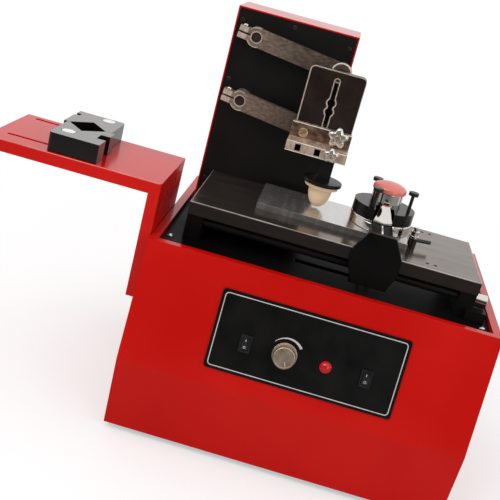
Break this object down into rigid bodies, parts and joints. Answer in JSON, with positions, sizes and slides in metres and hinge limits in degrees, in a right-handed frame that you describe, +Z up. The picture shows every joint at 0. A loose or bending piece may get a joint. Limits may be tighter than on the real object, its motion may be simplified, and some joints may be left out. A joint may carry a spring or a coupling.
{
  "type": "pad printing machine",
  "caption": "Electric desktop pad printer: red sheet casing, swing arms with a silicone pad, sliding ink cup on a steel plate, and a side shelf with V jaws",
  "frame": {"origin": "middle of the machine's footprint, on the ground", "axes": "+X runs to the machine's right along the bed, +Y to the back, +Z up; the work shelf is at -X"},
  "size_m": [0.4968, 0.2708, 0.3951],
  "materials": {
    "red_paint": "gloss",
    "black_paint": "gloss",
    "black_plastic": "matte",
    "plain_steel": "satin",
    "brushed_steel": "brushed",
    "polished_steel": "ground and polished",
    "bright_chrome": "mirror",
    "machined_aluminium": "machined",
    "dark_rubber": "matte",
    "cream_silicone": "satin",
    "green_board": "satin",
    "red_lens": "gloss"
  },
  "bodies": {
    "casing": {"body_shell": "red_paint", "base_plate": "plain_steel", "foot_front_left": "dark_rubber", "foot_front_right": "dark_rubber", "foot_rear_left": "dark_rubber", "foot_rear_right": "dark_rubber", "deck_plate": "black_paint", "tower_shell": "red_paint", "tower_panel": "black_paint", "tower_frame": "plain_steel", "upper_bearing": "plain_steel", "lower_bearing": "plain_steel", "gear_motor": "plain_steel", "arm_belt": "dark_rubber", "bed_plate": "black_paint", "steel_plate": "polished_steel", "bed_support_left": "black_paint", "bed_support_right": "black_paint", "guide_rod": "polished_steel", "control_plate": "black_plastic", "left_switch_housing": "black_plastic", "right_switch_housing": "black_plastic", "speed_board": "green_board", "indicator_lamp": "red_lens", "mains_inlet": "black_plastic"},
    "upper_swing": {"upper_arm": "brushed_steel", "upper_shaft": "plain_steel"},
    "lower_swing": {"lower_arm": "brushed_steel", "lower_shaft": "plain_steel", "arm_pulley": "plain_steel"},
    "head": {"head_plate": "black_paint"},
    "pad_carrier": {"head_block": "machined_aluminium", "pad_post": "black_paint", "silicone_pad": "cream_silicone"},
    "height_knob": {"star_knob": "bright_chrome"},
    "post_clamp": {"post_screw": "bright_chrome"},
    "motor_output": {"motor_pulley": "plain_steel"},
    "lever": {"cup_lever": "plain_steel"},
    "cup_carriage": {"carriage_front": "black_paint", "slider_block": "black_paint", "carriage_bridge": "black_paint", "wedge_nose": "bright_chrome", "clamp_ring": "black_paint", "ink_cup": "bright_chrome", "cup_cap": "red_paint"},
    "thumb_right": {"thumb_screw_right": "black_plastic"},
    "thumb_rear": {"thumb_screw_rear": "black_plastic"},
    "thumb_front": {"thumb_screw_front": "black_plastic"},
    "plate_clamp": {"plate_clamp_lever": "bright_chrome"},
    "rod_end": {"rod_knob": "bright_chrome"},
    "speed_dial": {"speed_knob": "machined_aluminium"},
    "left_switch": {"left_rocker": "black_plastic"},
    "right_switch": {"right_rocker": "black_plastic"},
    "bracket": {"work_bracket": "red_paint"},
    "front_jaw_set": {"front_jaw": "black_paint", "front_jaw_screw": "polished_steel"},
    "rear_jaw_set": {"rear_jaw": "black_paint", "rear_jaw_screw": "polished_steel"},
    "bracket_clamp_front": {"bracket_screw_front": "plain_steel"},
    "bracket_clamp_rear": {"bracket_screw_rear": "plain_steel"}
  },
  "joints": [
    {"name": "arm_swing", "type": "hinge", "parent": "casing", "child": "upper_swing", "pos_m": [-0.0456, 0.05122, 0.37001], "axis": [0, -1, 0], "range_deg": [0, 176]},
    {"name": "lower_arm_swing", "type": "hinge", "parent": "casing", "child": "lower_swing", "pos_m": [-0.0456, 0.04122, 0.30651], "axis": [0, -1, 0], "range_deg": [0, 176]},
    {"name": "head_level", "type": "hinge", "parent": "upper_swing", "child": "head", "pos_m": [0.04534, 0.05122, 0.3582], "axis": [0, -1, 0], "range_deg": [-176, 0]},
    {"name": "pad_height", "type": "slide", "parent": "head", "child": "pad_carrier", "axis": [0, 0, 1], "range_m": [0, 0.015]},
    {"name": "height_knob_turn", "type": "hinge", "parent": "pad_carrier", "child": "height_knob", "pos_m": [0.05944, 0.01122, 0.302], "axis": [0, 1, 0], "range_deg": [0, 360]},
    {"name": "post_screw_turn", "type": "hinge", "parent": "pad_carrier", "child": "post_clamp", "pos_m": [0.05744, -0.00678, 0.2876], "axis": [0, 1, 0], "range_deg": [0, 360]},
    {"name": "motor_turn", "type": "hinge", "parent": "casing", "child": "motor_output", "pos_m": [-0.0456, 0.08342, 0.12], "axis": [0, -1, 0], "range_deg": [0, 176]},
    {"name": "cup_slide", "type": "slide", "parent": "casing", "child": "cup_carriage", "axis": [1, 0, 0], "range_m": [-0.0655, 0]},
    {"name": "cup_lever_swing", "type": "hinge", "parent": "casing", "child": "lever", "pos_m": [0.08994, -0.03878, 0.036], "axis": [0, 1, 0], "range_deg": [-23.3, 0]},
    {"name": "thumb_right_turn", "type": "hinge", "parent": "cup_carriage", "child": "thumb_right", "pos_m": [0.14644, 0.00772, 0.26], "axis": [0, 0, 1], "range_deg": [0, 360]},
    {"name": "thumb_rear_turn", "type": "hinge", "parent": "cup_carriage", "child": "thumb_rear", "pos_m": [0.11044, 0.02851, 0.26], "axis": [0, 0, 1], "range_deg": [0, 360]},
    {"name": "thumb_front_turn", "type": "hinge", "parent": "cup_carriage", "child": "thumb_front", "pos_m": [0.11044, -0.01306, 0.26], "axis": [0, 0, 1], "range_deg": [0, 360]},
    {"name": "plate_clamp_turn", "type": "hinge", "parent": "casing", "child": "plate_clamp", "pos_m": [0.15654, -0.01478, 0.228], "axis": [0, 0, 1], "range_deg": [-100, 50]},
    {"name": "rod_end_turn", "type": "hinge", "parent": "casing", "child": "rod_end", "pos_m": [0.2284, -0.05478, 0.2036], "axis": [1, 0, 0], "range_deg": [0, 360]},
    {"name": "speed_turn", "type": "hinge", "parent": "casing", "child": "speed_dial", "pos_m": [0.066, -0.12643, 0.12641], "axis": [0, -0.9769, 0.2138], "range_deg": [0, 270]},
    {"name": "left_switch_tilt", "type": "hinge", "parent": "casing", "child": "left_switch", "pos_m": [0.029, -0.12175, 0.12539], "axis": [1, 0, 0], "range_deg": [0, 20]},
    {"name": "right_switch_tilt", "type": "hinge", "parent": "casing", "child": "right_switch", "pos_m": [0.1419, -0.12175, 0.12539], "axis": [1, 0, 0], "range_deg": [0, 20]},
    {"name": "bracket_height", "type": "slide", "parent": "casing", "child": "bracket", "axis": [0, 0, 1], "range_m": [-0.04, 0]},
    {"name": "front_jaw_slide", "type": "slide", "parent": "bracket", "child": "front_jaw_set", "axis": [1, 0, 0], "range_m": [-0.052, 0.02]},
    {"name": "rear_jaw_slide", "type": "slide", "parent": "bracket", "child": "rear_jaw_set", "axis": [1, 0, 0], "range_m": [-0.07, 0.006]},
    {"name": "bracket_clamp_front_turn", "type": "hinge", "parent": "casing", "child": "bracket_clamp_front", "pos_m": [-0.0866, -0.06878, 0.14], "axis": [1, 0, 0], "range_deg": [0, 360]},
    {"name": "bracket_clamp_rear_turn", "type": "hinge", "parent": "casing", "child": "bracket_clamp_rear", "pos_m": [-0.0866, -0.01378, 0.14], "axis": [1, 0, 0], "range_deg": [0, 360]}
  ],
  "couplings": [
    {"joint": "lower_arm_swing", "follows": "arm_swing", "ratio": 1},
    {"joint": "head_level", "follows": "arm_swing", "ratio": -1},
    {"joint": "motor_turn", "follows": "arm_swing", "ratio": 1},
    {"joint": "cup_slide", "follows": "arm_swing", "m_per_rad": -0.02116},
    {"joint": "cup_lever_swing", "follows": "arm_swing", "ratio": -0.13128}
  ]
}
